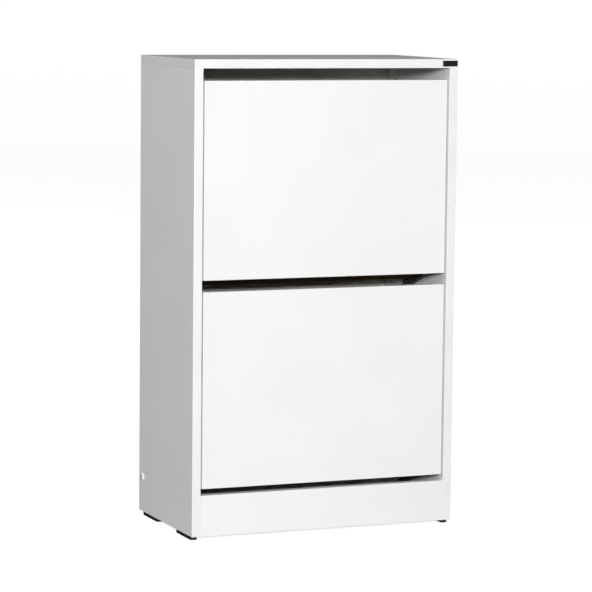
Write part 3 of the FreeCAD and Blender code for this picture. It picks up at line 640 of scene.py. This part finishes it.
@dataclass
class Moulding:
    """A moulded part that keeps its CAD shape and gains the soft edges of a mould.

    Attributes:
        node: The CAD node that it replaces.
        slot: The record's material slot; not used.
        finish: Its finish.
        easing: Width of the rounding along its outward edges, in millimetres.
        corner: Faces that meet at more than this angle, in degrees, form an edge to round.
    """

    node: str
    slot: str
    finish: Finish
    easing: float
    corner: float = 40.0

    def build(self) -> bpy.types.Object:
        """Make the part, with every outward edge rounded."""
        shape = merged_copy(self.node)
        sharp = [
            edge for edge in shape.edges
            if edge.is_manifold and edge.is_convex and edge.calc_face_angle(0.0) > math.radians(self.corner)
        ]
        ease(shape, sharp, self.easing)
        return finished(shape, self.node, (self.finish,))


@dataclass
class ScrewCap:
    """A push-in cap with a crowned face and a rolled rim.

    Attributes:
        node: The CAD node that it replaces.
        crown: Height of the middle above the rim's shoulder, in millimetres.
        roll: Radius of the rolled rim, in millimetres.
        crown_steps: Faces from the middle to the shoulder.
        roll_steps: Faces across the rolled rim.
        turn_steps: Faces round the cap.
    """

    node: str
    crown: float = 0.35
    roll: float = 1.2
    crown_steps: int = 4
    roll_steps: int = 6
    turn_steps: int = 48

    def build(self) -> bpy.types.Object:
        """Turn the cap and set it on its side panel."""
        low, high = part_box(self.node)
        middle = (low + high) / 2
        way = math.copysign(1, middle.x)
        radius = (high.z - low.z) / 2 / MM
        height = (high.x - low.x) / MM
        shoulder = radius - self.roll
        shares = [step / self.crown_steps for step in range(self.crown_steps + 1)]
        profile = [(shoulder * share, -self.crown * share**2) for share in shares]
        for step in range(1, self.roll_steps + 1):
            angle = step / self.roll_steps * math.pi / 2
            drop = self.crown + self.roll * (1 - math.cos(angle))
            profile.append((shoulder + self.roll * math.sin(angle), -drop))
        profile += [(radius, -height), (0.0, -height)]
        shape = turned(profile, self.turn_steps)
        outer = Vector((high.x if way > 0 else low.x, middle.y, middle.z))
        bmesh.ops.transform(shape, matrix=Spot(outer, middle).matrix(), verts=shape.verts)
        return finished(shape, self.node, (WHITE_PE,))


@dataclass
class Badge:
    """A blank black plate with rounded corners and a fine raised border.

    Attributes:
        node: The CAD node that it replaces.
        corner: Radius of its corners, in millimetres.
        corner_steps: Faces round a corner.
        border: Width of the raised border, in millimetres.
        sink: How deep the field lies below the border, in millimetres.
        bank: Width of the slope between border and field, in millimetres.
        easing: Width of the rounding round its front, in millimetres.
    """

    node: str = "badge_plate"
    corner: float = 0.8
    corner_steps: int = 5
    border: float = 0.55
    sink: float = 0.18
    bank: float = 0.1
    easing: float = 0.2

    def build(self) -> bpy.types.Object:
        """Make the plate from a block the size of its CAD node."""
        low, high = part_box(self.node)
        place = Matrix.Translation((low + high) / 2) @ Matrix.Diagonal((*(high - low), 1.0))
        shape = bmesh.new()
        bmesh.ops.create_cube(shape, size=1.0, matrix=place)
        through = [
            edge for edge in shape.edges if abs(edge.verts[0].co.y - edge.verts[1].co.y) > LIKE_PLACE
        ]
        ease(shape, through, self.corner, self.corner_steps)
        shape.normal_update()
        front = min(shape.faces, key=lambda face: face.normal.y)
        ease(shape, front.edges, self.easing)
        shape.normal_update()
        front = min(shape.faces, key=lambda face: face.normal.y)
        bmesh.ops.inset_region(shape, faces=[front], thickness=self.border * MM)
        bmesh.ops.inset_region(shape, faces=[front], thickness=self.bank * MM, depth=-self.sink * MM)
        return finished(shape, self.node, (BLACK_ENAMEL,))


# ---------------------------------------------------------------------------------------------
# Fastenings
# ---------------------------------------------------------------------------------------------


class Head(Enum):
    """The shape of a screw's head."""

    SUNK = "countersunk"
    PAN = "pan"


# Outline of a pan head, as shares of its radius and of its height from the top down.
PAN_HEAD = ((0.66, 0.0), (0.84, 0.1), (0.96, 0.35), (1.0, 0.7), (1.0, 1.0))


@dataclass
class Screws:
    """Cross-head chipboard screws of one node.

    Attributes:
        node: The CAD node that they replace.
        head: Shape of their heads.
        head_radius: Radius of a head, in millimetres.
        head_height: Height of a head, in millimetres.
        shank: Radius over the thread, in millimetres.
        pitch: Distance from one turn of the thread to the next, in millimetres.
        core: Radius of the core, as a share of the shank's.
        mouth: Radius of a sunk head's open middle, as a share of the head's.
        rim: Width and height of the broken rim of a sunk head, in millimetres.
        cross: Reach and width of the cross, as shares of the head's radius, and its depth, as a share of
            the head's height.
        steps: Faces round a screw.
    """

    node: str
    head: Head
    head_radius: float = 3.4
    head_height: float = 2.0
    shank: float = 1.75
    pitch: float = 1.6
    core: float = 0.72
    mouth: float = 0.72
    rim: tuple[float, float] = (0.15, 0.2)
    cross: tuple[float, float, float] = (0.52, 0.2, 0.6)
    steps: int = 24

    def profile(self, length: float) -> list[tuple[float, float]]:
        """Draw the outline of a screw.

        Args:
            length: Top of the head to the tip, in millimetres.

        Returns:
            Points as (radius, height), from the open middle of the head to the tip.
        """
        core = self.shank * self.core
        wide, high = self.head_radius, self.head_height
        if self.head is Head.SUNK:
            line = [(wide * self.mouth, 0.0), (wide - self.rim[0], 0.0), (wide, -self.rim[1])]
        else:
            line = [(wide * across, -high * down) for across, down in PAN_HEAD]
        line.append((core, -high))
        line += thread(core, self.shank, self.pitch, -high - self.pitch / 2, -length + 3 * self.pitch)
        # The last ridges shrink towards the point.
        last = line[-1][1] - self.pitch * (1 - RIDGE)
        line += [(self.shank * 0.8, last), (core * 0.6, -length + self.pitch), (0.0, -length)]
        return line

    def build(self) -> bpy.types.Object:
        """Turn one screw, sink its cross and set down a copy at each place."""
        places = spots(self.node)
        reach, width, depth = self.cross
        shape = turned(self.profile(places[0].length()), self.steps)
        cross_recess(shape, self.head_radius * reach, self.head_radius * width, self.head_height * depth)
        return finished(stamped(shape, places), self.node, (PLATED_STEEL,))


@dataclass
class Nails:
    """Flat-headed wire nails of one node.

    Attributes:
        node: The CAD node that they replace.
        head_radius: Radius of a head, in millimetres.
        head_height: Thickness of a head, in millimetres.
        wire: Radius of the wire, in millimetres.
        swell: Length of the swelling under the head, in millimetres.
        point: Length of the point, in millimetres.
        steps: Faces round a nail.
    """

    node: str
    head_radius: float = 2.2
    head_height: float = 0.8
    wire: float = 0.8
    swell: float = 0.6
    point: float = 3.0
    steps: int = 24

    def build(self) -> bpy.types.Object:
        """Turn one nail and set down a copy at each place."""
        places = spots(self.node)
        length, wide, high = places[0].length(), self.head_radius, self.head_height
        shape = turned([
            (0.0, 0.0), (wide * 0.7, -0.05), (wide * 0.93, -0.2), (wide, -0.4), (wide * 0.9, -high),
            (self.wire * 1.3, -high), (self.wire, -high - self.swell),
            (self.wire, -length + self.point), (0.0, -length),
        ], self.steps)
        return finished(stamped(shape, places), self.node, (PLATED_STEEL,))


@dataclass
class CamHousings:
    """Cast cams that pull the boards together: two discs on a waist, with a cross for the driver.

    Attributes:
        node: The CAD node that they replace.
        radius: Radius of a housing, in millimetres.
        lip: Width of the rounded lip round the face, in millimetres.
        rounding: Radius of the lip's two edges, in millimetres.
        dish: How far the face lies below the lip, in millimetres.
        waist: Radius of the body between its two discs, in millimetres.
        face: Thickness of the face's disc, in millimetres.
        foot: Thickness of the bottom disc, in millimetres.
        slope: Height of the slope from a disc to the waist, in millimetres.
        edge: Size of the chamfer round the bottom, in millimetres.
        mouth: Radius of the face's open middle, as a share of the face's.
        cross: Reach, width and depth of the cross, in millimetres.
        steps: Faces round a housing.
    """

    node: str = "cam_housings"
    radius: float = 7.5
    lip: float = 0.9
    rounding: float = 0.25
    dish: float = 0.4
    waist: float = 7.0
    face: float = 2.2
    foot: float = 3.0
    slope: float = 0.4
    edge: float = 0.3
    mouth: float = 0.72
    cross: tuple[float, float, float] = (3.828, 1.5, 3.2)
    steps: int = 40

    def build(self) -> bpy.types.Object:
        """Turn one housing, sink its cross and set down a copy at each place."""
        places = spots(self.node)
        length, inner = places[0].length(), self.radius - self.lip
        shape = turned([
            (inner * self.mouth, -self.dish), (inner, -self.dish),
            (inner + self.rounding, -self.rounding / 5),
            (self.radius - self.rounding, 0.0), (self.radius, -self.rounding), (self.radius, -self.face),
            (self.waist, -self.face - self.slope), (self.waist, -length + self.foot + self.slope),
            (self.radius, -length + self.foot), (self.radius, -length + self.edge),
            (self.radius - self.edge, -length), (0.0, -length),
        ], self.steps)
        cross_recess(shape, *self.cross)
        return finished(stamped(shape, places), self.node, (CAST_ZINC,))


@dataclass
class CamBolts:
    """Steel bolts that the cams pull on: a ball end, a smooth neck, a collar and a coarse thread.

    Attributes:
        node: The CAD node that they replace.
        radius: Radius of collar and thread, in millimetres.
        neck: Radius of the neck, in millimetres.
        ball: Length of the ball end, in millimetres.
        nose: Radius of the ball's flattened end, in millimetres.
        shoulder: Radius and drop of the point where the ball turns over, in millimetres.
        collar: Length of the collar, in millimetres.
        slope: Length of the slope from neck to collar, in millimetres.
        thread: Length of the thread, in millimetres.
        pitch: Distance from one turn of the thread to the next, in millimetres.
        core: Radius of the thread's core, in millimetres.
    """

    node: str = "cam_bolts"
    radius: float = 3.0
    neck: float = 1.9
    ball: float = 5.0
    nose: float = 1.4
    shoulder: tuple[float, float] = (2.5, 0.8)
    collar: float = 2.2
    slope: float = 0.3
    thread: float = 11.0
    pitch: float = 2.0
    core: float = 2.25

    def build(self) -> bpy.types.Object:
        """Turn one bolt and set down a copy at each place."""
        places = spots(self.node)
        length = places[0].length()
        side, drop = self.shoulder
        line = [(0.0, 0.0), (self.nose, -0.1), (side, -drop), (self.radius, -self.ball / 2)]
        line += [(side, -self.ball + drop), (self.neck, -self.ball)]
        top = -length + self.thread
        line += [(self.neck, top + self.collar + self.slope), (self.radius, top + self.collar)]
        line.append((self.radius, top))
        line += thread(self.core, self.radius, self.pitch, top - self.pitch / 2, -length + self.pitch)
        line += [(self.core * 0.8, -length), (0.0, -length)]
        return finished(stamped(turned(line), places), self.node, (PLATED_STEEL,))


@dataclass
class Dowels:
    """Fluted beech dowels with chamfered ends.

    Attributes:
        node: The CAD node that they replace.
        radius: Radius over the flutes, in millimetres.
        flutes: Number of flutes.
        flute: Depth of a flute, in millimetres.
        chamfer: Length of the chamfer at each end, in millimetres.
        narrowing: How far the chamfer reaches in, in millimetres.
        crease: Faces that meet at more than this angle, in degrees, keep a crisp edge.
    """

    node: str = "dowels"
    radius: float = 4.0
    flutes: int = 20
    flute: float = 0.3
    chamfer: float = 1.0
    narrowing: float = 0.7
    crease: float = 50.0

    def build(self) -> bpy.types.Object:
        """Draw one dowel out from a fluted ring and set down a copy at each place."""
        places = spots(self.node)
        shape = bmesh.new()
        ring = bmesh.ops.create_circle(shape, radius=self.radius * MM, segments=2 * self.flutes)
        for vert in ring["verts"][::2]:
            vert.co *= 1 - self.flute / self.radius
        small = (self.radius - self.narrowing) / self.radius
        bmesh.ops.scale(shape, verts=shape.verts, vec=(small, small, 1.0))
        loop = list(shape.edges)
        bmesh.ops.contextual_create(shape, geom=loop)
        straight = places[0].length() - 2 * self.chamfer
        for grow, drop in ((1 / small, self.chamfer), (1.0, straight), (small, self.chamfer)):
            drawn = bmesh.ops.extrude_edge_only(shape, edges=loop)["geom"]
            verts = [item for item in drawn if isinstance(item, bmesh.types.BMVert)]
            loop = [item for item in drawn if isinstance(item, bmesh.types.BMEdge)]
            bmesh.ops.scale(shape, verts=verts, vec=(grow, grow, 1.0))
            bmesh.ops.translate(shape, verts=verts, vec=(0, 0, -drop * MM))
        bmesh.ops.edgeloop_fill(shape, edges=loop)
        bmesh.ops.recalc_face_normals(shape, faces=shape.faces)
        return finished(stamped(shape, places), self.node, (BEECH,), self.crease)


# ---------------------------------------------------------------------------------------------
# Sub-assemblies
# ---------------------------------------------------------------------------------------------

HANDS = ("left", "right")


@dataclass
class Carcass:
    """The fixed body of the cabinet.

    Attributes:
        screw_head: Radius of the rail screws' heads, in millimetres.
        screw_head_height: Height of their heads, in millimetres.
        screw_shank: Radius over their thread, in millimetres.
        screw_pitch: Distance from one turn of their thread to the next, in millimetres.
    """

    screw_head: float = 5.0
    screw_head_height: float = 2.0
    screw_shank: float = 2.5
    screw_pitch: float = 2.2

    def build(self) -> None:
        """Make the boards, the back, the badge and the caps."""
        for hand in HANDS:
            MelamineBoard(f"{hand}_side_panel", (Side.FRONT, Side.BACK)).build()
        MelamineBoard("top_panel", (Side.FRONT, Side.LEFT, Side.RIGHT, Side.BACK)).build()
        MelamineBoard("plinth_panel", (Side.TOP,)).build()
        MelamineBoard("rear_rail", (Side.TOP,)).build()
        HardboardSheet("back_panel", Vector((0, -1, 0))).build()
        Badge().build()
        for hand in HANDS:
            ScrewCap(f"screw_cap_{hand}").build()

    def fasten(self) -> None:
        """Make the fittings that hold the boards together."""
        CamHousings().build()
        CamBolts().build()
        Dowels().build()
        Screws(
            "rail_screws", Head.SUNK, self.screw_head, self.screw_head_height, self.screw_shank,
            self.screw_pitch,
        ).build()
        Nails("back_nails").build()


@dataclass
class Feet:
    """The four low feet and their nails.

    Attributes:
        easing: Width of the rounding on the feet's edges, in millimetres.
    """

    easing: float = 0.8

    def build(self) -> None:
        """Make the feet and the nails that hold them."""
        for end in ("front", "rear"):
            for hand in HANDS:
                Moulding(f"foot_{end}_{hand}", "black_plastic", BLACK_PP, self.easing).build()
        Nails("foot_nails").build()


@dataclass
class HingeFittings:
    """Pins and stop pegs on the side panels.

    Attributes:
        easing: Width of the rounding on their edges, in millimetres.
    """

    easing: float = 0.3

    def build(self) -> None:
        """Make the pivots and pegs of both flaps, and their screws."""
        for level in ("lower", "upper"):
            for hand in HANDS:
                Moulding(f"{level}_pivot_{hand}", "grey_plastic", GREY_NYLON, self.easing).build()
                Moulding(f"{level}_stop_peg_{hand}", "grey_plastic", GREY_NYLON, self.easing).build()
        Screws("pivot_screws", Head.SUNK).build()
        Screws("peg_screws", Head.PAN).build()


@dataclass
class Flap:
    """A door and the shoe rack that tips out with it.

    Attributes:
        level: Which of the two it is, lower or upper.
        slope: How far its shelves fall towards the back, in degrees.
        easing: Width of the rounding on its frames' edges, in millimetres.
    """

    level: str
    slope: float = 20.0
    easing: float = 0.45

    def build(self) -> None:
        """Make the door, the rack's frames, its four boards and its screws."""
        MelamineBoard(f"{self.level}_door", (Side.LEFT, Side.RIGHT, Side.BOTTOM, Side.TOP)).build()
        for hand in HANDS:
            Moulding(f"{self.level}_rack_frame_{hand}", "dark_plastic", DARK_ABS, self.easing).build()
        turn = Matrix.Rotation(math.radians(-self.slope), 3, "X")
        for row in ("front", "rear"):
            HardboardSheet(f"{self.level}_{row}_shelf", turn @ Vector((0, 0, 1))).build()
            HardboardSheet(f"{self.level}_{row}_backrest", turn @ Vector((0, -1, 0))).build()
        Screws(f"{self.level}_frame_screws", Head.PAN).build()


# ---------------------------------------------------------------------------------------------
# Studio
# ---------------------------------------------------------------------------------------------


@dataclass(frozen=True)
class Softbox:
    """A soft square light that faces the cabinet.

    Attributes:
        name: Its name.
        azimuth: How far it stands to the left of straight ahead, in degrees.
        elevation: How high it stands above the horizon, in degrees.
        distance: Its distance from the cabinet's middle, in metres.
        size: Its width and height, in metres.
        power: Its power, in watts.
    """

    name: str
    azimuth: float
    elevation: float
    distance: float
    size: float
    power: float

    def build(self, target: Vector) -> None:
        """Set up the light so that it looks at a point."""
        light = bpy.data.lights.new(self.name, "AREA")
        light.shape, light.size, light.energy = "SQUARE", self.size, self.power
        lamp = bpy.data.objects.new(self.name, light)
        turn, rise = math.radians(self.azimuth), math.radians(self.elevation)
        away = Vector((-math.sin(turn) * math.cos(rise), -math.cos(turn) * math.cos(rise), math.sin(rise)))
        facing = away.to_track_quat("Z", "Y").to_matrix().to_4x4()
        lamp.matrix_world = Matrix.Translation(target + away * self.distance) @ facing
        bpy.context.scene.collection.objects.link(lamp)


@dataclass
class Studio:
    """A plain pale floor that curves up to a far wall, and the soft lights.

    Attributes:
        floor_radius: Where the floor starts to rise, in metres.
        wall_radius: Where the wall stands, in metres.
        wall_height: Height of the wall, in metres.
        bend_steps: Faces in the curve between them.
        turn_steps: Faces round a sheet of paper.
        tone: Colour of the floor and wall, sRGB hex.
        under_tone: Colour of the sheet under the floor, sRGB hex.
        under_drop: How far that sheet lies below the floor, in metres.
        glow: How much light the floor gives by itself, so that it stays pale.
        sky: Brightness of the light from all round.
        lights: The softboxes.
    """

    floor_radius: float = 11.0
    wall_radius: float = 14.0
    wall_height: float = 9.0
    bend_steps: int = 12
    turn_steps: int = 96
    tone: str = "#d8d8d8"
    under_tone: str = "#757575"
    under_drop: float = 0.001
    glow: float = 0.82
    sky: float = 0.2
    lights: tuple[Softbox, ...] = (
        Softbox("key_softbox", 18.0, 12.0, 6.0, 0.7, 334.0),
        Softbox("left_fill", 85.0, 8.0, 6.0, 1.5, 71.0),
        Softbox("rear_fill", -125.0, 4.0, 6.0, 1.5, 150.0),
    )

    def sweep(self) -> list[tuple[float, float]]:
        """Draw the outline of the floor and wall, as (radius, height) in millimetres."""
        bend = self.wall_radius - self.floor_radius
        line = [(0.0, 0.0)]
        for step in range(self.bend_steps + 1):
            angle = step / self.bend_steps * math.pi / 2
            line.append((self.floor_radius + bend * math.sin(angle), bend * (1 - math.cos(angle))))
        line.append((self.wall_radius, self.wall_height))
        return [(radius / MM, height / MM) for radius, height in line]

    def paper(
        self, name: str, profile: Sequence[tuple[float, float]], tone: str, glow: float
    ) -> bpy.types.Object:
        """Make one round sheet of studio paper.

        Args:
            name: Name of the object and of its material.
            profile: Its outline as (radius, height), in millimetres.
            tone: Its colour, sRGB hex.
            glow: How much light it gives by itself.

        Returns:
            The sheet, marked as no part of the cabinet.
        """
        shape = turned(profile, self.turn_steps)
        bmesh.ops.reverse_faces(shape, faces=[face for face in shape.faces if face.normal.z < -LIKE_PLACE])
        mesh = bpy.data.meshes.new(name)
        shape.to_mesh(mesh)
        shape.free()
        mesh.shade_smooth()
        material = bpy.data.materials.new(name)
        material.use_nodes = True
        tree = material.node_tree
        tree.nodes.clear()
        shader = add_node(tree, "BsdfPrincipled", {
            "Base Color": linear(tone), "Roughness": 0.9,
            "Emission Color": linear("#ffffff"), "Emission Strength": glow,
        })
        add_node(tree, "OutputMaterial", {"Surface": shader.outputs[0]})
        mesh.materials.append(material)
        sheet = bpy.data.objects.new(name, mesh)
        bpy.context.scene.collection.objects.link(sheet)
        return sheet

    def stand(self) -> None:
        """Lay the pale floor, whose glow lights nothing, and under it the sheet that light bounces from."""
        floor = self.paper("floor", self.sweep(), self.tone, self.glow)
        floor.visible_diffuse = floor.visible_glossy = False
        level = -self.under_drop / MM
        self.paper("underlay", [(0.0, level), (self.floor_radius / MM, level)], self.under_tone, 0.0)

    def light(self) -> None:
        """Set up the softboxes and the dim light from all round."""
        for softbox in self.lights:
            softbox.build((CAD_BOX[0] + CAD_BOX[1]) / 2)
        world = bpy.data.worlds.new("studio")
        world.use_nodes = True
        world.node_tree.nodes.clear()
        glow = add_node(world.node_tree, "Background", {"Color": linear("#ffffff"), "Strength": self.sky})
        add_node(world.node_tree, "OutputWorld", {"Surface": glow.outputs[0]})
        bpy.context.scene.world = world
        bpy.context.scene.view_settings.view_transform = "Standard"

    def build(self) -> None:
        """Make the whole studio."""
        self.stand()
        self.light()


@dataclass
class Viewpoint:
    """The camera, seen from the cabinet's left front.

    Attributes:
        position: Where it stands, in metres.
        yaw: How far it turns from looking straight at the front, in degrees.
        pitch: How far it looks down, in degrees.
        roll: How far it leans, in degrees.
        lens: Focal length, in millimetres.
        sensor: Width of the sensor, in millimetres.
        far: How far it sees, in metres.
    """

    position: tuple[float, float, float] = (-1.9155, -4.6249, 0.9715)
    yaw: float = 22.498
    pitch: float = 6.418
    roll: float = -0.606
    lens: float = 169.18
    sensor: float = 36.0
    far: float = 100.0

    def build(self) -> None:
        """Make the camera and look through it."""
        camera = bpy.data.cameras.new("camera")
        camera.lens, camera.sensor_width, camera.clip_end = self.lens, self.sensor, self.far
        holder = bpy.data.objects.new("camera", camera)
        turn = Matrix.Rotation(math.radians(-self.yaw), 4, "Z")
        tilt = Matrix.Rotation(math.radians(90 - self.pitch), 4, "X")
        lean = Matrix.Rotation(math.radians(-self.roll), 4, "Z")
        holder.matrix_world = Matrix.Translation(self.position) @ turn @ tilt @ lean
        bpy.context.scene.collection.objects.link(holder)
        bpy.context.scene.camera = holder


def main() -> None:
    """Build the cabinet piece by piece, then the studio round it."""
    logging.basicConfig(level=logging.INFO, format="%(message)s")
    Viewpoint().build()
    carcass = Carcass()
    carcass.build()
    carcass.fasten()
    Feet().build()
    HingeFittings().build()
    Flap("lower").build()
    Flap("upper").build()
    Studio().build()


if __name__ == "__main__":
    main()
